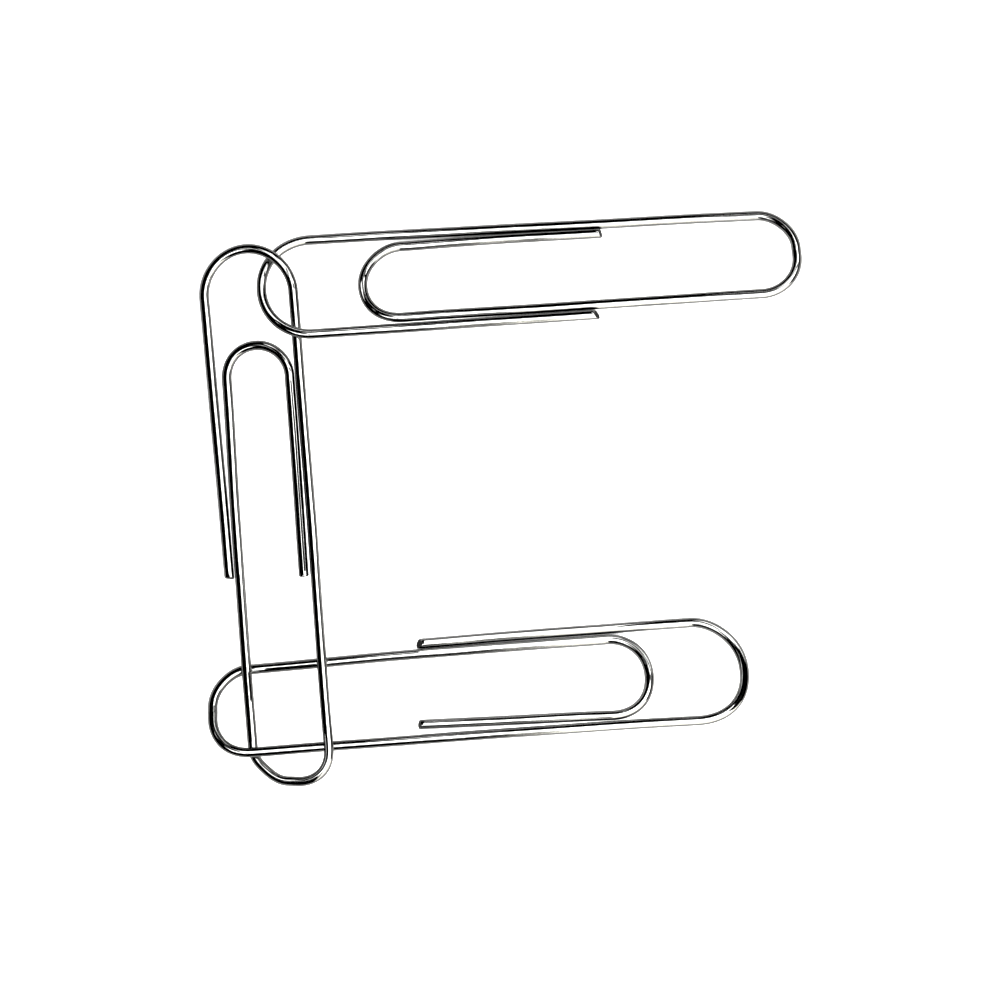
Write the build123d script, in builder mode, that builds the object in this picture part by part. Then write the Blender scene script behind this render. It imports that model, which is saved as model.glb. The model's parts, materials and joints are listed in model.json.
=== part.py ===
"""Three double-loop wire paper clips, linked in a chain and lying on a table in the shape of a C.

Each clip is one length of round wire with three bends. Going inwards along the wire: a free end, the outer
bend, a long leg, the crown (the single-wire end), a second leg, the inner bend, and the other free end.
A clip is written from the middle of its crown outwards, as an outer loop and an inner loop that meet there,
because the clip opens by twisting the wire at that place.

The table is z = 0. The middle clip points along +Y, the upper clip lies across its top and the lower clip
across its bottom. A linked clip can't lie flat: it leans on the wire that it passes over.
"""
from dataclasses import dataclass
from math import asin, cos, degrees, radians, sin, sqrt, tan
import os

from build123d import *

# The wire, the same in all three clips
wire_diameter = 0.9
wire_gap = 0.08  # between two lengths of one wire that run side by side
link_clearance = 0.08  # between two clips where one passes over the other
end_rounding = 0.12  # on the rim of each sheared end

# A clip seen flat, before it is linked
clip_length = 50.0  # outside to outside
crown_flat = 0.5  # straight stretch on each side of the crown's middle

# What hand bending left different in each clip: widths and lengths in mm, angles in degrees.
# The legs spread from the crown, the outer free leg tucks in towards its end, the inner one flares out.
upper_length = clip_length
upper_setback = 9.3  # from the tip of the outer bend to the tip of the inner bend
upper_crown_width = 7.9  # between the centre lines of the two legs
upper_spread = 0.55
upper_tuck = 0.0
upper_flare = 0.0
upper_outer_free_leg = 25.9
upper_inner_free_leg = 18.4

middle_length = clip_length - 0.1
middle_setback = 8.9
middle_crown_width = 7.35
middle_spread = -0.45
middle_tuck = 1.25
middle_flare = 0.45
middle_outer_free_leg = 25.65
middle_inner_free_leg = 18.45

lower_length = clip_length - 0.35
lower_setback = 8.65
lower_crown_width = 7.95
lower_spread = 0.45
lower_tuck = 0.0
lower_flare = 1.35
lower_outer_free_leg = 24.85
lower_inner_free_leg = 17.6

# How the clips hang in each other, seen from above, between centre lines
lower_reach = 3.35  # the lower clip's crown, past the middle clip's second leg
middle_reach = 2.9  # the middle clip's crown, past the lower clip's long leg
upper_reach = 2.95  # the upper clip's outer bend, past the middle clip's long leg
upper_hang = 8.0  # where it crosses that leg, below the tip of the middle clip's outer bend
upper_heading = 179.75
middle_heading = 90.0
lower_heading = 0.6


@dataclass
class Bends:
    """Sizes of one flat clip. x runs along the clip from the middle of its crown, y across it.

    The second leg lies at y = half_width and the long leg at about -half_width.
    """

    length: float
    half_width: float
    crown_radius: float
    spread: float
    long_leg: float
    outer_bend: float
    outer_turn: float
    outer_free_leg: float
    second_leg: float
    inner_bend: float
    inner_turn: float
    inner_free_leg: float

    def long_leg_y(self, x):
        """Where the long leg's centre line is at x."""
        past_crown = x - self.crown_radius * (1 - sin(radians(self.spread)))
        at_crown = crown_flat + self.crown_radius * cos(radians(self.spread))
        return -at_crown - past_crown * tan(radians(self.spread))

    def far_edge(self):
        """The centre line's greatest distance from the x axis on the long leg's side."""
        return max(self.half_width, -self.long_leg_y(self.bend_centre()))

    def free_leg_y(self):
        """Where the outer free leg leaves the outer bend: the clip's edge on the second leg's side."""
        tuck = self.outer_turn - half_turn - self.spread
        reach = cos(radians(self.spread)) + cos(radians(tuck))
        return self.long_leg_y(self.bend_centre()) + self.outer_bend * reach

    def bend_centre(self):
        """How far along the clip the outer bend begins."""
        return self.length - wire_diameter - self.outer_bend

    def bend_y(self, x):
        """Where the outer bend is at x, on its way to the free leg."""
        past_centre = x - self.bend_centre()
        return self.free_leg_y() - self.outer_bend + sqrt(self.outer_bend**2 - past_centre**2)


half_turn = 180.0
quarter_turn = 90.0


def bend_clip(length, setback, crown_width, spread, tuck, flare, outer_free_leg, inner_free_leg):
    """Radii and lengths that keep the two free legs one wire and a gap away from their neighbours.

    Each bend spans from one leg to the line of the free leg on its other side, so its radius is that distance
    over the height of a unit arc. The leg before it is shortened by the radius, which adds the tangent.
    """
    beside = wire_diameter + wire_gap
    half_width = crown_width / 2
    crown_radius = half_width - crown_flat
    opening = radians(spread)
    crown_side = crown_flat + crown_radius * cos(opening)
    crown_end = crown_radius * (1 - sin(opening))

    outer_run = length - wire_diameter - crown_end
    tucked_in = outer_free_leg * sin(radians(tuck))
    outer_rise = crown_side + half_width + beside + tucked_in + outer_run * tan(opening)
    outer_bend = outer_rise / (cos(opening) + cos(radians(tuck)) + tan(opening))

    tongue_length = length - setback
    inner_run = tongue_length - wire_diameter - crown_end
    inner_rise = crown_side + half_width - beside / cos(opening) + inner_run * tan(opening)
    inner_bend = inner_rise / (1 + cos(opening + radians(flare)) + tan(opening))

    return Bends(
        length=length,
        half_width=half_width,
        crown_radius=crown_radius,
        spread=spread,
        long_leg=(outer_run - outer_bend) / cos(opening),
        outer_bend=outer_bend,
        outer_turn=half_turn + spread + tuck,
        outer_free_leg=outer_free_leg,
        second_leg=tongue_length - wire_diameter - crown_radius - inner_bend,
        inner_bend=inner_bend,
        inner_turn=half_turn + spread + flare,
        inner_free_leg=inner_free_leg,
    )


upper = bend_clip(
    upper_length, upper_setback, upper_crown_width, upper_spread, upper_tuck, upper_flare,
    upper_outer_free_leg, upper_inner_free_leg,
)
middle = bend_clip(
    middle_length, middle_setback, middle_crown_width, middle_spread, middle_tuck, middle_flare,
    middle_outer_free_leg, middle_inner_free_leg,
)
lower = bend_clip(
    lower_length, lower_setback, lower_crown_width, lower_spread, lower_tuck, lower_flare,
    lower_outer_free_leg, lower_inner_free_leg,
)

# How the clips lean. One wire has to clear the next by this much from centre line to centre line.
pass_height = wire_diameter + link_clearance
wire_radius = wire_diameter / 2
middle_centre_length = middle_length - wire_diameter
upper_centre_length = upper_length - wire_diameter

# The lower clip's long leg goes over the middle clip's second leg and under its long leg, so across its width
# the middle clip rises by two passes.
middle_rise = 2 * pass_height / middle_crown_width

# Between its two legs the lower clip rises by two passes too, and by what the middle clip drops there. The
# middle clip drops from where the lower clip holds it up to where its outer bend lies on the table.
middle_run = middle.bend_centre() - middle_reach
lower_height = lower.free_leg_y() + lower.half_width
middle_edge = middle.free_leg_y() - middle.half_width
level_drop = (pass_height + middle_rise * middle_edge) / middle_run
lower_rise = (2 * pass_height / lower_crown_width - level_drop) / (1 - lower_height / middle_run)
middle_drop = lower_rise * lower_height / middle_run - level_drop

# The upper clip's long leg lies on the table, and its outer bend passes over the middle clip's long leg.
upper_cross_height = middle_centre_length - upper_hang
upper_cross_y = upper.bend_y(upper_centre_length - upper_reach)
middle_cross = (
    lower_rise * lower_height - pass_height
    - middle_drop * (upper_cross_height - middle_reach)
    + middle_rise * (middle.half_width - middle.long_leg_y(upper_cross_height))
)
upper_rise = (middle_cross + pass_height) / (upper_cross_y + upper.far_edge())

lower_roll = -degrees(asin(lower_rise))
middle_roll = -degrees(asin(middle_rise))
middle_pitch = degrees(asin(middle_drop))
upper_roll = degrees(asin(upper_rise))

# Where the middle of each crown is, seen from above, with the middle clip's at zero
second_leg_x = -middle.half_width * cos(radians(middle_roll))
long_leg_x = -middle.long_leg_y(upper_cross_height) * cos(radians(middle_roll))
lower_x = second_leg_x - lower_reach
lower_y = middle_reach + lower.half_width * cos(radians(lower_roll))
upper_x = long_leg_x + (upper_reach - upper_centre_length) * cos(radians(upper_heading))
upper_y = (
    upper_cross_height
    + upper_cross_y * cos(radians(upper_roll))
    - (upper_centre_length - upper_reach) * sin(radians(upper_heading))
)
lower_z = wire_radius + lower_rise * lower.free_leg_y()
middle_z = (
    lower_z + lower_rise * lower.half_width - pass_height
    + middle_drop * middle_reach + middle_rise * middle.half_width
)
upper_z = wire_radius + upper_rise * upper.far_edge()

# The origin is on the table below the middle of the chain.
chain_x = (lower_x + upper_x) / 2
upper_top = upper.bend_centre() * sin(radians(upper_heading)) + upper.far_edge() * cos(radians(upper_roll))
chain_y = (upper_y + upper_top) / 2


def clip_plane(x, y, z, heading, pitch, roll):
    """The plane that one flat clip is bent in: its x axis runs along the clip."""
    return Plane(Location((x - chain_x, y - chain_y, z), (heading, pitch, roll), Intrinsic.ZYX))


def bend_loop(node, plane, side, crown_radius, crown_turn, leg, bend_radius, bend_turn, free_leg):
    """Bend and save half a clip: from the middle of the crown, round one bend, to a free end.

    side is -1 for the outer loop, which leaves the crown towards -y and bends left, and 1 for the inner loop.
    """
    with BuildPart() as loop:
        with BuildLine(plane) as route:
            start = Line((0, 0), (0, side * crown_flat))
            crown = JernArc(start @ 1, start % 1, crown_radius, -side * crown_turn)
            straight = Line(crown @ 1, crown @ 1 + leg * (crown % 1))
            bend = JernArc(straight @ 1, straight % 1, bend_radius, -side * bend_turn)
            tail = Line(bend @ 1, bend @ 1 + free_leg * (bend % 1))
        with BuildSketch(Plane(origin=start @ 0, z_dir=start % 0)):
            Circle(wire_radius)
        sweep(path=route.wire())
        sheared_end = loop.faces().filter_by(GeomType.PLANE).sort_by_distance(tail @ 1)[0]
        fillet(sheared_end.edges(), radius=end_rounding)
    loop.part.label = node
    export_step(loop.part, f"parts/{node}.step")
    print(f"{node}: {route.wire().length:.1f} mm of wire, {loop.part.volume:.1f} mm3")
    return loop.part


os.makedirs("parts", exist_ok=True)

clips = {
    "upper": (upper, clip_plane(upper_x, upper_y, upper_z, upper_heading, 0, upper_roll)),
    "middle": (middle, clip_plane(0, 0, middle_z, middle_heading, middle_pitch, middle_roll)),
    "lower": (lower, clip_plane(lower_x, lower_y, lower_z, lower_heading, 0, lower_roll)),
}

for name, (bends, plane) in clips.items():
    bend_loop(
        f"{name}_outer_loop", plane, -1, bends.crown_radius, quarter_turn - bends.spread, bends.long_leg,
        bends.outer_bend, bends.outer_turn, bends.outer_free_leg,
    )
    bend_loop(
        f"{name}_inner_loop", plane, 1, bends.crown_radius, quarter_turn, bends.second_leg,
        bends.inner_bend, bends.inner_turn, bends.inner_free_leg,
    )

print(f"lean in degrees: upper {upper_roll:.2f}, middle {middle_roll:.2f}, lower {lower_roll:.2f}")
print(f"the middle clip drops by {middle_pitch:.2f} degrees along its length")
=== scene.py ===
# %% [markdown]
# # Three paper clips, linked in a chain
# A paper clip is one length of bright wire with three bends. Here three of them hang in each other and lie on a
# white table, seen from straight above. Only round wire and what it mirrors is to be seen, so this lesson is about
# two things: the exact line of a bent wire, and the light that a mirror needs around it.
# The imported model gives the place of every clip. The first cell loads it and keeps its joints and mounts.

# %% Load the imported model
import json
from math import cos, pi, radians, sin, tan

import bpy
import numpy as np
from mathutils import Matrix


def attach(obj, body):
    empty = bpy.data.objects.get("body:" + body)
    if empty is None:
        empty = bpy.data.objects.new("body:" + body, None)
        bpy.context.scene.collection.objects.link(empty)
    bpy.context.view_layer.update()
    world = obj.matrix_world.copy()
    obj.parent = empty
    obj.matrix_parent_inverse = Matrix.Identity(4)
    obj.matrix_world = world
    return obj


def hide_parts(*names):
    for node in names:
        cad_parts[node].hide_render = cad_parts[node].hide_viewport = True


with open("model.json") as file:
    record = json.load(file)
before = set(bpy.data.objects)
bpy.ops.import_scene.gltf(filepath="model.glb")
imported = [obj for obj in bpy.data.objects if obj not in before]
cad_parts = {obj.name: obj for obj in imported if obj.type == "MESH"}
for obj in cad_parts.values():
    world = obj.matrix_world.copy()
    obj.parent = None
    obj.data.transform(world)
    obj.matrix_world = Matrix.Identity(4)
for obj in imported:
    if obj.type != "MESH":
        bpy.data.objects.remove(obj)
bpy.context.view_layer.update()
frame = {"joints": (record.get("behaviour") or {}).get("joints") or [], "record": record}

scene = bpy.context.scene
joints = {joint["name"]: joint for joint in frame["joints"]}
mounts = {mount["name"]: mount for mount in frame["record"]["mounts"]}
print("joints:", ", ".join(joints))

# %% [markdown]
# ## The camera
# The picture was taken from straight above, a little turned. A long lens from a metre away keeps the view almost
# parallel, so a wire that lies 4 mm higher than its neighbour doesn't shift against it.

# %% Camera
MM = 0.001
picture_width = 91.54  # of the table that the picture shows, in mm
picture_turn = radians(-4.07)
picture_centre = (-0.531, -0.3355)
wire_level = 2.0  # half the height of the chain
lens = 400.0
sensor = 36.0

camera_data = bpy.data.cameras.new("camera_above")
camera_data.lens = lens
camera_data.sensor_width = sensor
camera = bpy.data.objects.new("camera_above", camera_data)
camera.location = (
    picture_centre[0] * MM,
    picture_centre[1] * MM,
    (wire_level + picture_width * lens / sensor) * MM,
)
camera.rotation_euler = (0, 0, picture_turn)
scene.collection.objects.link(camera)
scene.camera = camera
print(f"camera {camera.location.z:.3f} m above the table")

# %% [markdown]
# ## The clips' bends
# A clip is known by a few lengths: how long it is, how wide its crown is (the end where the wire is single), how far
# the inner bend is set back from the outer one, and how its legs spread, tuck in and flare. These are the solid
# model's, so the wires made here lie where its solids are. The radius of each bend follows, because each free leg
# has to come back beside its neighbour.
# A bend made by hand isn't quite round. The pushes say how far outside its true line the wire lies: at the middle
# and the end of the crown, at the end of the leg, and at each quarter of the bend.

# %% Lengths of the three clips, in mm and degrees
wire_diameter = 0.9
wire_gap = 0.08  # between two lengths of one wire that lie side by side
wire_radius = wire_diameter / 2
crown_flat = 0.5  # straight stretch on each side of the crown's middle

clips = {
    "upper": dict(
        length=50.0, setback=9.3, crown_width=7.9, spread=0.55, tuck=0.0, flare=0.0,
        outer_free_leg=25.9, inner_free_leg=18.4,
        outer_push=(-0.21, -0.13, 0.04, 0.03, -0.05, 0.03, 0.05),
        inner_push=(0.02, 0, -0.04, 0.15, 0, -0.2, -0.14),
    ),
    "middle": dict(
        length=49.9, setback=8.9, crown_width=7.35, spread=-0.45, tuck=1.25, flare=0.45,
        outer_free_leg=25.65, inner_free_leg=18.45,
        outer_push=(0.25, -0.03, -0.02, -0.08, -0.05, -0.06, -0.04),
        inner_push=(-0.4, -0.1, -0.08, -0.03, -0.07, -0.05, 0),
    ),
    "lower": dict(
        length=49.65, setback=8.65, crown_width=7.95, spread=0.45, tuck=0.0, flare=1.35,
        outer_free_leg=24.85, inner_free_leg=17.6,
        outer_push=(0.22, 0.04, 0.13, 0.37, 0, -0.2, -0.1),
        inner_push=(-0.25, -0.16, -0.07, -0.03, 0, 0.19, 0.03),
    ),
}


def bent_stretches(
    length, setback, crown_width, spread, tuck, flare, outer_free_leg, inner_free_leg, outer_push, inner_push
):
    """The two routes of a clip from the middle of its crown: length, turn and two pushes of each stretch.

    A bend spans from one leg to the line of the free leg that comes back beside it. So its radius is that distance
    over the height of an arc of radius one, and the leg before it is as long as the radius leaves room for. The two
    pushes are those at the middle and at the end of the stretch. On the crown's straight stretch they follow the
    slope from one half of the crown to the other, so that the wire runs smoothly across the middle.
    """
    beside = wire_diameter + wire_gap
    half_width = crown_width / 2
    crown_radius = half_width - crown_flat
    spread, tuck, flare = radians(spread), radians(tuck), radians(flare)
    crown_side = crown_flat + crown_radius * cos(spread)
    crown_end = crown_radius * (1 - sin(spread))

    outer_run = length - wire_diameter - crown_end
    outer_rise = crown_side + half_width + beside + outer_free_leg * sin(tuck) + outer_run * tan(spread)
    outer_bend = outer_rise / (cos(spread) + cos(tuck) + tan(spread))
    long_leg = (outer_run - outer_bend) / cos(spread)

    tongue_length = length - setback
    inner_run = tongue_length - wire_diameter - crown_end
    inner_rise = crown_side + half_width - beside / cos(spread) + inner_run * tan(spread)
    inner_bend = inner_rise / (1 + cos(spread + flare) + tan(spread))
    second_leg = tongue_length - wire_diameter - crown_radius - inner_bend

    outer_quarter, inner_quarter = (pi + spread + tuck) / 2, (pi + spread + flare) / 2
    skew = (outer_push[0] - inner_push[0]) / (2 * crown_flat + crown_radius * pi / 2) * crown_flat
    outer = [
        (crown_flat, 0, skew / 2, skew),
        (crown_radius * (pi / 2 - spread), pi / 2 - spread, *outer_push[0:2]),
        (long_leg, 0, 0, outer_push[2]),
        (outer_bend * outer_quarter, outer_quarter, *outer_push[3:5]),
        (outer_bend * outer_quarter, outer_quarter, *outer_push[5:7]),
        (outer_free_leg, 0, 0, 0),
    ]
    inner = [
        (crown_flat, 0, -skew / 2, -skew),
        (crown_radius * pi / 2, -pi / 2, *inner_push[0:2]),
        (second_leg, 0, 0, inner_push[2]),
        (inner_bend * inner_quarter, -inner_quarter, *inner_push[3:5]),
        (inner_bend * inner_quarter, -inner_quarter, *inner_push[5:7]),
        (inner_free_leg, 0, 0, 0),
    ]
    return outer, inner


for name, lengths in clips.items():
    outer, inner = bent_stretches(**lengths)
    print(f"{name}: {sum(stretch[0] for stretch in outer + inner):.1f} mm of wire")

# %% [markdown]
# ## Following a bent route
# A curve object with a round bevel would also give a wire. Worked out as arrays, the route keeps its true arcs, and
# every ring of the wire knows how far along it is and whether it is in a bend, which the next cells need.

# %% Pushes between the places where they are given
def ease(x):
    """0 below 0, 1 above 1 and a smooth S between them: 3 x squared less 2 x cubed."""
    x = np.clip(x, 0, 1)
    return x * x * (3 - 2 * x)


def push_along(stretches, along):
    """How far outside its true line the wire lies, at each distance along a route.

    The pushes are given at the middle and at the end of each stretch. From one place to the next they follow a cubic,
    whose slope at a place is that of the line from the place before it to the place after it.
    """
    lengths, _, middle_push, end_push = np.array(stretches).T
    ends = np.cumsum(lengths)
    places = np.concatenate([[0], np.stack([ends - lengths / 2, ends], axis=1).ravel()])
    pushes = np.concatenate([[0], np.stack([middle_push, end_push], axis=1).ravel()])
    slopes = np.zeros(len(places))
    slopes[0] = (pushes[1] - pushes[0]) / (places[1] - places[0])
    slopes[1:-1] = (pushes[2:] - pushes[:-2]) / (places[2:] - places[:-2])

    part = np.clip(np.searchsorted(places, along) - 1, 0, len(places) - 2)
    gap = places[part + 1] - places[part]
    share = (along - places[part]) / gap
    pushed = pushes[part] + (pushes[part + 1] - pushes[part]) * ease(share)
    return pushed + gap * share * (1 - share) * (slopes[part] * (1 - share) - slopes[part + 1] * share)


trial_route = bent_stretches(**clips["upper"])[0]
trial_length = sum(stretch[0] for stretch in trial_route)
trial_push = push_along(trial_route, np.linspace(0, trial_length, 200))
print(f"upper outer loop: pushed by {trial_push.min():.2f} to {trial_push.max():.2f} mm")

# %% The route as points
ring_spacing = 0.14


def follow(stretches, heading):
    """Points on a flat route, with the heading, the distance along it and the bend's side at each of them.

    Each stretch is cut into equal steps. Over one step of an arc that turns by t the chord is the arc's length times
    sin(t/2)/(t/2) long, and it points t/2 further than the arc did. Adding the chords up gives points exactly on
    the arc, and a straight stretch is the same with t = 0. Each point then moves outwards by its push.
    """
    lengths, turns = np.array(stretches).T[:2]
    counts = np.ceil(lengths / ring_spacing).astype(int)
    arc = np.repeat(lengths / counts, counts)
    turn = np.repeat(turns / counts, counts)
    headings = heading + np.concatenate([[0], np.cumsum(turn)])
    chord = arc * np.sinc(turn / (2 * pi))
    halfway = headings[:-1] + turn / 2
    steps = chord[:, None] * np.stack([np.cos(halfway), np.sin(halfway)], axis=1)
    points = np.vstack([[0, 0], np.cumsum(steps, axis=0)])
    along = np.concatenate([[0], np.cumsum(arc)])
    leftwards = push_along(stretches, along) * -np.sign(turns.sum())
    points = points + leftwards[:, None] * np.stack([-np.sin(headings), np.cos(headings)], axis=1)
    side = np.interp(along, along[:-1] + arc / 2, np.sign(turn))
    return points, headings, along, side


points, headings, along, side = follow(trial_route, -pi / 2)
print(f"upper outer loop: {len(points)} rings, ends at {points[-1].round(2)} mm")

# %% [markdown]
# ## The wire's skin
# Drawn wire is round, and a ring carried along the route would do for it from afar. Close by, the bends show a flat
# where the wire was pressed round a pin, the long legs aren't quite straight, and the ends are sheared off at a
# slant, with a rolled edge where the blade went in and a small lip where it came out. All of that is in the ring's
# formula, so it is real geometry.

# %% The rings of a sheared end
rim_rounding = 0.12
rim_rings = 8
face_rings = 8
face_core = 0.08  # size of the last ring, as a share of the face


def add_end(points, headings, along):
    """A route with the rings of its end added: places, headings, distances, and each ring's share of the wire.

    On the rim, a quarter circle of angle a, a ring lies the rounding times 1 - sin(a) before the end and is the
    rounding times 1 - cos(a) smaller than the wire. The rings after it shrink on the flat face.
    """
    end = along[-1]
    rim = np.linspace(0, pi / 2, rim_rings)
    face = np.linspace(1, face_core, face_rings + 1)[1:] * (1 - rim_rounding / wire_radius)
    tail = np.concatenate([end - rim_rounding * (1 - np.sin(rim)), np.full(len(face), end)])
    shrink = np.concatenate([np.ones(len(along) - 1), 1 - rim_rounding / wire_radius * (1 - np.cos(rim)), face])
    forward = np.array([cos(headings[-1]), sin(headings[-1])])
    places = np.vstack([points[:-1], points[-1] + (tail - end)[:, None] * forward])
    headings = np.concatenate([headings[:-1], np.full(len(tail), headings[-1])])
    return places, headings, np.concatenate([along[:-1], tail]), shrink


print(f"a sheared end adds {rim_rings + face_rings} rings")

# %% What the blade does to an end
slant_length = 0.9  # of wire that a sheared end reaches back over
lip_length = 2.5 * rim_rounding
lip_start, lip_rise = 0.45, 0.5  # where the lip begins on the far side, and over how much it grows, in radii
pinch_start, pinch_rise = 0.2, 1.2  # how far short of the middle the pinch begins, and over how much it grows


def shear(cut, along, end, height):
    """How far each point of the skin slides along the wire, and how far it is pinched towards the wire's middle.

    height is a point's place between the side where the blade came out, -1, and the side where it went in, 1. The
    slide is the height times the tangent of the slant, and the lip where the blade came out. The pinch grows to the
    side where it went in. All of it fades with the distance from the end.
    """
    slant, _, pinch, lip = cut
    near_end = ease((along - end + slant_length) / slant_length)[:, None]
    at_end = ease((along - end + lip_length) / lip_length)[:, None]
    slide = -wire_radius * tan(slant) * height * near_end
    slide = slide + lip * at_end * ease((-height - lip_start) / lip_rise)
    squeeze = pinch * at_end * ease((height + pinch_start) / pinch_rise)
    return slide, wire_radius * squeeze


print(f"a lip or a pinch reaches back over {lip_length:.2f} mm")

# %% How a leg wanders
leg_bow = 0.022  # how far a leg wanders from its straight line, in mm
steady_length, settle_length = 3, 9  # of wire at the crown that is steady, and over which the rest begins
slow_wave, quick_wave, rising_wave = 5.3, 2.3, 4.1  # mm of wire to a radian


def leg_wander(along, phases):
    """How far the wire lies to the left of its route, a sum of two sine waves, and above it, a third one.

    They grow from nothing some way past the crown, so that the two halves of a clip meet there.
    """
    first, second, third = phases
    settled = ease((along - steady_length) / settle_length)
    sway = 0.6 * np.sin(along / slow_wave + first) + 0.4 * np.sin(along / quick_wave + second)
    return leg_bow * settled * sway, leg_bow * settled * 0.7 * np.sin(along / rising_wave + third)


print(f"the slow wave is {2 * pi * slow_wave:.0f} mm long")

# %% A ring carried along the route
ring_sides = 48
pin_flat = 0.035  # share of the radius that the bending pin presses in
pin_fade = 1.2  # length over which that begins and ends, in mm
seam = 0.002  # between the crown's middle and each half of the wire, so that the halves turn freely, in mm


def wire_rings(stretches, heading, cut, phases):
    """The wire's skin in the clip's own axes, as a grid of rings, with its place in the wire and the cut's share.

    A point is the route's point plus r cos(a) to the left and r sin(a) up. r is the wire's radius, less a share of
    the fourth power of the cosine on the inside of a bend. The end's rings shrink, and near the end each point also
    slides along the wire and is pinched, as the blade left it.
    """
    points, headings, along, side = follow(stretches, heading)
    end = along[-1]
    window = np.hanning(int(pin_fade / ring_spacing) * 2 + 1)
    pressed = np.convolve(side, window / window.sum(), mode="same")[:-1]
    centre, headings, along, shrink = add_end(points, headings, along)
    centre[0] += seam * np.array([cos(heading), sin(heading)])
    pressed = np.concatenate([pressed, np.zeros(len(along) - len(pressed))])

    angle = np.linspace(0, 2 * pi, ring_sides, endpoint=False)
    left, up = np.cos(angle), np.sin(angle)
    inside = np.clip(left * np.sign(pressed)[:, None], 0, 1) ** 4
    radius = wire_radius * (shrink[:, None] - pin_flat * np.abs(pressed)[:, None] * inside)

    blade = cut[1]
    height = shrink[:, None] * (left * cos(blade) + up * sin(blade))
    slide, pinched = shear(cut, along, end, height)
    sideways, lifted = leg_wander(along, phases)
    leftwards = radius * left - pinched * cos(blade) * np.sign(height) + sideways[:, None]
    upwards = radius * up - pinched * sin(blade) * np.sign(height) + lifted[:, None]

    normal = np.stack([-np.sin(headings), np.cos(headings)], axis=1)
    tangent = np.stack([np.cos(headings), np.sin(headings)], axis=1)
    flat = centre[:, None] + leftwards[..., None] * normal[:, None] + slide[..., None] * tangent[:, None]
    rings = np.concatenate([flat, upwards[..., None]], axis=2)
    drawn = np.stack(np.broadcast_arrays(radius * left, radius * up, along[:, None] + slide), axis=2)
    sheared = np.broadcast_to(ease((1 - shrink) / (rim_rounding / wire_radius))[:, None], radius.shape)
    return rings, drawn, sheared


trial_cut = (radians(14), radians(90), 0.05, 0.04)
rings, drawn, sheared = wire_rings(trial_route, -pi / 2, trial_cut, (0, 1, 2))
print(f"upper outer loop: {rings.shape[0]} rings of {rings.shape[1]} points")

# %% [markdown]
# ## From rings to a mesh
# Neighbouring rings are joined by four-sided faces, and the first and the last ring are closed by one face each, so
# every wire is a closed solid. The faces are counted so that they look outwards, and the volume proves it: it
# comes out positive only when they do. Two attributes go with the points: where each lies in the drawn wire, and
# how much of it is sheared.

# %% A mesh from rings
sharp_edge = radians(50)


def wire_mesh(name, rings, drawn, sheared):
    """A closed mesh from a grid of rings, in metres, with the attributes that the finish reads."""
    count, sides = rings.shape[:2]
    index = np.arange(count * sides).reshape(count, sides)
    near, far = index[:-1], index[1:]
    quads = np.stack([near, np.roll(near, -1, axis=1), np.roll(far, -1, axis=1), far], axis=2)
    ends = [index[0, ::-1].tolist(), index[-1].tolist()]
    mesh = bpy.data.meshes.new(name)
    mesh.from_pydata(rings.reshape(-1, 3) * MM, [], quads.reshape(-1, 4).tolist() + ends)
    mesh.attributes.new("drawn", "FLOAT_VECTOR", "POINT").data.foreach_set("vector", drawn.astype("f").ravel())
    mesh.attributes.new("sheared", "FLOAT", "POINT").data.foreach_set("value", sheared.astype("f").ravel())
    mesh.shade_smooth()
    mesh.set_sharp_from_angle(angle=sharp_edge)
    mesh.validate()
    mesh.update()
    return mesh


def enclosed_volume(rings):
    """Sum over the faces of corner . (corner x corner) / 6, which is the volume when they look outwards."""
    near, far = rings[:-1], rings[1:]
    a, b = near, np.roll(near, -1, axis=1)
    c, d = np.roll(far, -1, axis=1), far
    skin = (a * np.cross(b, c)).sum() + (a * np.cross(c, d)).sum()
    first, last = rings[0].mean(axis=0), rings[-1].mean(axis=0)
    ends = (first * np.cross(np.roll(rings[0], -1, axis=0), rings[0])).sum()
    ends += (last * np.cross(rings[-1], np.roll(rings[-1], -1, axis=0))).sum()
    return (skin + ends) / 6


print(f"upper outer loop: {enclosed_volume(rings):.1f} mm3 of steel")

# %% [markdown]
# ## The finish: bright nickel on drawn steel
# Clip wire is drawn through a die, plated bright and then bent. It mirrors like chrome, a little darker and as
# neutral. The die leaves fine lines along the wire, the feed rolls rub it a little dull in places, and the wire isn't
# quite round, so that its reflections waver. The sheared ends are dark and dull. An image could hold these marks;
# worked out from each point's place in the drawn wire, they follow the wire round its bends.

# %% Colours and nodes
def linear(hex_colour):
    """An sRGB hex colour as linear red, green, blue and alpha."""
    srgb = np.array([int(hex_colour[i:i + 2], 16) for i in (1, 3, 5)]) / 255
    rgb = np.where(srgb <= 0.04045, srgb / 12.92, ((srgb + 0.055) / 1.055) ** 2.4)
    return (*rgb, 1)


def add_node(tree, kind, settings=None, numbered=None, **named):
    """Add a node, set its properties, and set or link its inputs by number or by name (_ for a space)."""
    node = tree.nodes.new(kind)
    for key, value in (settings or {}).items():
        setattr(node, key, value)
    inputs = {**(numbered or {}), **{key.replace("_", " "): value for key, value in named.items()}}
    for key, value in inputs.items():
        if isinstance(value, bpy.types.NodeSocket):
            tree.links.new(value, node.inputs[key])
        else:
            node.inputs[key].default_value = value
    return node


def bare_finish(name):
    """A new material without nodes, and its node tree."""
    finish = bpy.data.materials.new(name)
    finish.use_nodes = True
    finish.node_tree.nodes.clear()
    return finish, finish.node_tree


# A Mix node has a socket of the same name for each type of value, so its colours go by number.
mix_first, mix_second, mix_result = 6, 7, 2
print(f"half grey, #808080, is {linear('#808080')[0]:.3f} in linear light")

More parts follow.
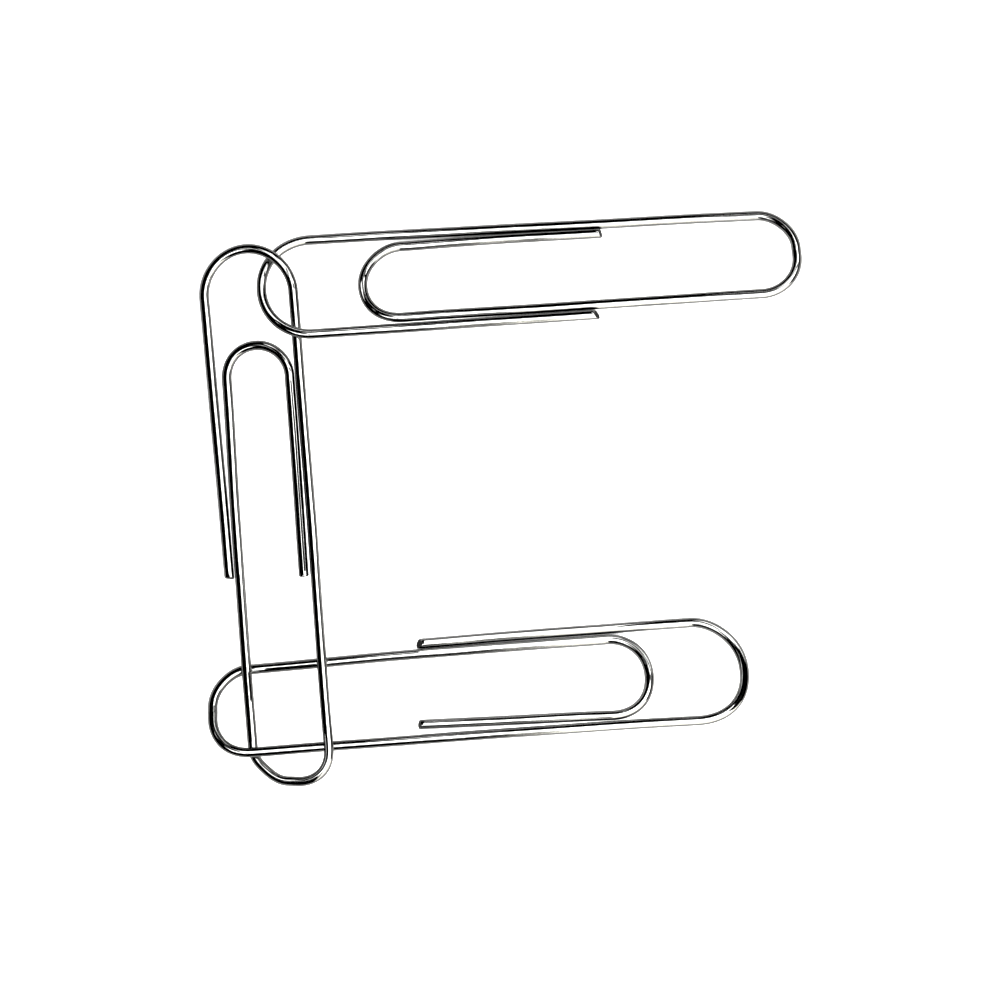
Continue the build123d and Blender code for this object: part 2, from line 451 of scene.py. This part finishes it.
# %% Marks in the drawn wire
wire_finish, tree = bare_finish("bright_nickel_plated_steel_wire")
place = add_node(tree, "ShaderNodeAttribute", {"attribute_name": "drawn"}).outputs["Vector"]
cut_share = add_node(tree, "ShaderNodeAttribute", {"attribute_name": "sheared"}).outputs["Fac"]

# Width round the wire and length along it in mm, then the noise's detail and roughness. Real die lines are finer:
# 0.12 mm is as fine as the picture shows.
mark_sizes = {
    "die_lines": (0.12, 30, 3.0, 0.6),
    "rub_marks": (0.5, 3, 4.0, 0.55),
    "slow_waves": (0.6, 5, 0.0, 0.5),
}
marks = {}
for name, (width, length, detail, roughness) in mark_sizes.items():
    stretched = add_node(tree, "ShaderNodeMapping", Vector=place, Scale=(1 / width, 1 / width, 1 / length))
    noise = add_node(
        tree, "ShaderNodeTexNoise", {"noise_dimensions": "3D"}, Vector=stretched.outputs[0],
        Scale=1.0, Detail=detail, Roughness=roughness,
    )
    marks[name] = noise.outputs["Fac"]
print("marks:", ", ".join(marks))

# %% Bright nickel plated steel wire
# The plating gives a neutral mirror, a shade darker where it is rubbed.
plating = add_node(tree, "ShaderNodeValToRGB", Fac=marks["rub_marks"])
rubbed, clean = plating.color_ramp.elements
rubbed.position, rubbed.color = 0.35, linear("#A6A6A5")
clean.position, clean.color = 0.65, linear("#B5B5B4")
colour = add_node(
    tree, "ShaderNodeMix", {"data_type": "RGBA"},
    {mix_first: plating.outputs["Color"], mix_second: linear("#303030")}, Factor=cut_share,
).outputs[mix_result]

# Painted shade: where two lengths of wire lie side by side and shut each other in, ambient occlusion darkens the
# colour to a dark seam.
painted_seam_shade = add_node(tree, "ShaderNodeAmbientOcclusion", {"samples": 8}, Distance=0.35 * MM).outputs["AO"]
clear_of_seam_shade = add_node(tree, "ShaderNodeMapRange", Value=painted_seam_shade, From_Min=0.55, From_Max=0.82).outputs["Result"]
colour = add_node(
    tree, "ShaderNodeMix", {"data_type": "RGBA"},
    {mix_first: linear("#202020"), mix_second: colour}, Factor=clear_of_seam_shade,
).outputs[mix_result]

# Rubbing and shearing take away some of the gloss.
gloss = add_node(
    tree, "ShaderNodeMapRange", Value=marks["rub_marks"], From_Min=0.3, From_Max=0.75, To_Min=0.05, To_Max=0.13
).outputs["Result"]
dull = add_node(tree, "ShaderNodeMath", {"operation": "MULTIPLY_ADD"}, {0: cut_share, 1: 0.3, 2: gloss})

waves = add_node(tree, "ShaderNodeBump", Height=marks["slow_waves"], Strength=1.0, Distance=0.04 * MM)
relief = add_node(
    tree, "ShaderNodeBump", Height=marks["die_lines"], Strength=0.15, Distance=0.02 * MM,
    Normal=waves.outputs["Normal"],
)
shader = add_node(
    tree, "ShaderNodeBsdfPrincipled", Base_Color=colour, Metallic=1.0, Roughness=dull.outputs[0],
    Normal=relief.outputs["Normal"],
)
add_node(tree, "ShaderNodeOutputMaterial", Surface=shader.outputs[0])
print(wire_finish.name, "has", len(tree.nodes), "nodes")

# %% [markdown]
# ## The six wires
# Each clip is two pieces that meet at the middle of the crown, because that is where the clip opens: the inner loop
# turns about the crown's straight stretch. Both pieces have the same ring there, so the wire stays whole at any
# angle. The crown's place and the clip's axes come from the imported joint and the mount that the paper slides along.

# %% Make the wires
# Each end's slant, the side that the blade came from, the pinch as a share of the radius, and the lip in mm
cuts = {
    "upper_outer": (radians(26), radians(70), 0.10, 0.05),
    "upper_inner": (radians(15), radians(80), 0.06, 0.03),
    "middle_outer": (radians(6), radians(120), 0.04, 0.06),
    "middle_inner": (radians(-4), radians(90), 0.03, 0.02),
    "lower_outer": (radians(28), radians(100), 0.12, 0.03),
    "lower_inner": (radians(15), radians(90), 0.05, 0.03),
}
random = np.random.default_rng(7)

for clip, lengths in clips.items():
    opening = joints[f"{clip}_clip_open"]
    crown = np.array(opening["pos_m"]) / MM
    along_clip = np.array(mounts[f"{clip}_paper_grip"]["axis"])
    across_clip = -np.array(opening["axis"])
    axes = np.stack([along_clip, across_clip, np.cross(along_clip, across_clip)])
    for loop, stretches, heading in zip(("outer", "inner"), bent_stretches(**lengths), (-pi / 2, pi / 2)):
        name = f"{clip}_{loop}"
        rings, drawn, sheared = wire_rings(stretches, heading, cuts[name], random.uniform(0, 2 * pi, 3))
        rings = crown + rings @ axes
        wire = bpy.data.objects.new(f"{name}_wire", wire_mesh(f"{name}_wire", rings, drawn, sheared))
        wire.data.materials.append(wire_finish)
        scene.collection.objects.link(wire)
        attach(wire, name)
        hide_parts(f"{name}_loop")
        print(f"{wire.name}: {len(wire.data.polygons)} faces, {enclosed_volume(rings):.1f} mm3")

# %% [markdown]
# ## The table
# The clips lie on plain white card that shows no tone and hardly a shadow. Lamps that bright would flood the wire,
# so the card glows a little instead, and only for the camera: the wire mirrors the card as it is lit. The glow ends
# where the card is shut in by wires close to it, so the narrow gap between two of them stays dark.

# %% White table
table_half = 1500.0
table_mesh = bpy.data.meshes.new("table")
corners = np.array([(-1, -1, 0), (1, -1, 0), (1, 1, 0), (-1, 1, 0)]) * table_half * MM
table_mesh.from_pydata(corners, [], [(0, 1, 2, 3)])
table = bpy.data.objects.new("table", table_mesh)
scene.collection.objects.link(table)

# Matt card scatters light to all sides, so it has one tone and no shine.
table_finish, tree = bare_finish("matt_white_card")
seen = add_node(tree, "ShaderNodeLightPath").outputs["Is Camera Ray"]
open_sky = add_node(tree, "ShaderNodeAmbientOcclusion", {"samples": 8}, Distance=0.8 * MM).outputs["AO"]
glow = add_node(
    tree, "ShaderNodeMapRange", Value=open_sky, From_Min=0.08, From_Max=0.42, To_Min=0.0, To_Max=seen,
).outputs["Result"]
card = add_node(
    tree, "ShaderNodeBsdfPrincipled", Base_Color=linear("#CCCCCC"), Roughness=0.9, Specular_IOR_Level=0.1,
    Emission_Color=linear("#DCDCDC"), Emission_Strength=glow,
)
add_node(tree, "ShaderNodeOutputMaterial", Surface=card.outputs[0])
table_mesh.materials.append(table_finish)
print(f"table {2 * table_half * MM:.1f} m wide")

# %% [markdown]
# ## The lamps
# A mirror shows only its surroundings, so the light is built as what the wire should mirror: soft panels overhead
# that end close to the clips on the left and at the back, a tall panel in front on the right, and strips behind.
# Point lamps would give thin glints only. Panels give the broad white bands with sharp dark edges of bright wire.

# %% Lights
panel_radiance = 2.4
flat_down = (0, 0, 0)
upright = (radians(90), 0, 0)


def light_panel(name, centre, size, turn, radiance, colour):
    """A rectangular light of an even radiance, in mm. Its power is 4 times its area times the radiance."""
    panel = bpy.data.lights.new(name, "AREA")
    panel.shape = "RECTANGLE"
    panel.size, panel.size_y = size[0] * MM, size[1] * MM
    panel.energy = 4 * panel.size * panel.size_y * radiance
    panel.color = linear(colour)[:3]
    lamp = bpy.data.objects.new(name, panel)
    lamp.location = [c * MM for c in centre]
    lamp.rotation_euler = turn
    lamp.visible_camera = False
    scene.collection.objects.link(lamp)
    print(f"{name}: {size[0]:.0f} x {size[1]:.0f} mm, {panel.energy:.3f} W")


light_panel("overhead", (215, -25, 300), (530, 330), flat_down, panel_radiance, "#FFFFFF")
light_panel("overhead_side", (-137, -128, 300), (155, 176), flat_down, panel_radiance, "#FFFFFF")
light_panel("overhead_corner", (-200, 85, 300), (30, 50), flat_down, panel_radiance, "#FFFFFF")
light_panel("front_card", (240, -190, 155), (480, 290), upright, 1.8, "#FFFEF8")
light_panel("back_strip_right", (115, 178, 150), (170, 60), flat_down, panel_radiance, "#FFFFFF")
light_panel("back_strip_left", (-12, 178, 150), (10, 75), flat_down, panel_radiance, "#FFFFFF")
light_panel("overhead_back", (280, 185, 300), (400, 90), flat_down, panel_radiance, "#FFFFFF")

# %% [markdown]
# ## Flags and papers
# To shape the lines in a shiny thing, small black flags and white papers are held close to it, just out of the
# picture. Here they lie flat over the table, each near the bend or the leg that is to mirror it. They are in
# nothing's way: the camera doesn't see them, they cast no shadow and light nothing but reflections.

# %% Felt and paper
# Felt swallows light, so the wire shows it as a black line.
felt, tree = bare_finish("black_felt")
nap = add_node(tree, "ShaderNodeBsdfDiffuse", Color=linear("#080808"))
add_node(tree, "ShaderNodeOutputMaterial", Surface=nap.outputs[0])

# Paper lit from behind is evenly white and as bright as the panels, so the wire shows it as one more of them.
paper, tree = bare_finish("lit_white_paper")
shine = add_node(tree, "ShaderNodeEmission", Color=linear("#FFFFFF"), Strength=panel_radiance)
add_node(tree, "ShaderNodeOutputMaterial", Surface=shine.outputs[0])
print("made", felt.name, "and", paper.name)


# %% Flags and papers
def low_card(name, finish, height, outline):
    """A flat card over an outline on the table, in mm. Only the wire sees it, in its reflections."""
    mesh = bpy.data.meshes.new(name)
    corners = np.array([(x, y, height) for x, y in outline]) * MM
    mesh.from_pydata(corners, [], [range(len(outline))])
    mesh.materials.append(finish)
    card = bpy.data.objects.new(name, mesh)
    scene.collection.objects.link(card)
    card.visible_camera = card.visible_diffuse = card.visible_shadow = False
    print(f"{name}: {len(outline)} corners, {height} mm up")


# For the lower clip's outer bend, for its crown, and for where the middle clip crosses it
low_card("flag_right", felt, 7, [
    (16.8, -15.2), (18.2, -12.8), (20, -12.4), (24, -10.5), (38, -10),
    (38, -26), (24, -23.5), (20.2, -21.6), (20.8, -19.6), (19, -17.5),
])
low_card("flag_left", felt, 12, [(-50, -14), (-24.3, -14), (-24.3, -5), (-50, -5)])
low_card("flag_between", felt, 5, [(-23.2, -16.9), (-18.3, -16.9), (-18.3, -14.2), (-23.2, -14.2)])
# For the middle clip's inner free leg and its crown, and for the upper clip's crown
low_card("flag_leg", felt, 4.1, [(-18.76, -5.5), (-17.85, -5.5), (-17.97, 12), (-18.65, 12)])
low_card("flag_front", felt, 8, [(-28, -31), (-20, -31), (-20, -25.3), (-28, -25.3)])
low_card("flag_back", felt, 100, [(22, 36), (95, 36), (95, 54), (22, 54)])
# For the middle clip's outer bend and its crown
low_card("paper_left", paper, 12, [
    (-25, 24.3), (-23, 22.5), (-17, 27), (-15, 28), (-15, 31), (-19.5, 31.5), (-20, 33), (-25, 33),
])
low_card("paper_front", paper, 8, [(-26.5, -23), (-23.8, -23), (-23.8, -20.5), (-26.5, -20.5)])
# For the lower clip's doubled legs, for its outer bend, and for where the inner bend turns away from it
low_card("paper_middle", paper, 4, [(-9, -13), (8, -13), (13, -4), (-9, -4)])
low_card("paper_right", paper, 7, [(19, -11.9), (24, -10), (38, -9.5), (38, 6), (19, 6)])
low_card("paper_between", paper, 7, [(11.8, -12.9), (13.2, -14.2), (16, -14.2), (16.6, -12.9)])

# %% [markdown]
# ## The room and the levels
# Around the lamps the room is almost black, which draws the dark lines in the wire. Past the table's edge the camera
# sees white. The picture has burnt-out whites and full blacks, so the levels are set closer than usual, and a curve
# darkens the greys between them.

# %% Dark room
world = bpy.data.worlds.new("dark_room")
scene.world = world
world.use_nodes = True
tree = world.node_tree
tree.nodes.clear()
seen = add_node(tree, "ShaderNodeLightPath").outputs["Is Camera Ray"]
room = add_node(
    tree, "ShaderNodeMix", {"data_type": "RGBA"},
    {mix_first: linear("#0C0C0C"), mix_second: linear("#FFFFFF")}, Factor=seen,
).outputs[mix_result]
air = add_node(tree, "ShaderNodeBackground", Color=room, Strength=1.0)
add_node(tree, "ShaderNodeOutputWorld", Surface=air.outputs[0])
print("world:", world.name)

# %% Levels
black_point, white_point = 0.015, 0.82
middle_grey, middle_shown = 0.5, 0.32
all_channels = 3  # the curve after red, green and blue

scene.view_settings.view_transform = "Standard"
scene.view_settings.use_curve_mapping = True
levels = scene.view_settings.curve_mapping
levels.black_level, levels.white_level = (black_point,) * 3, (white_point,) * 3
levels.curves[all_channels].points.new(middle_grey, middle_shown)
levels.update()
print(f"levels from {black_point} to {white_point}")
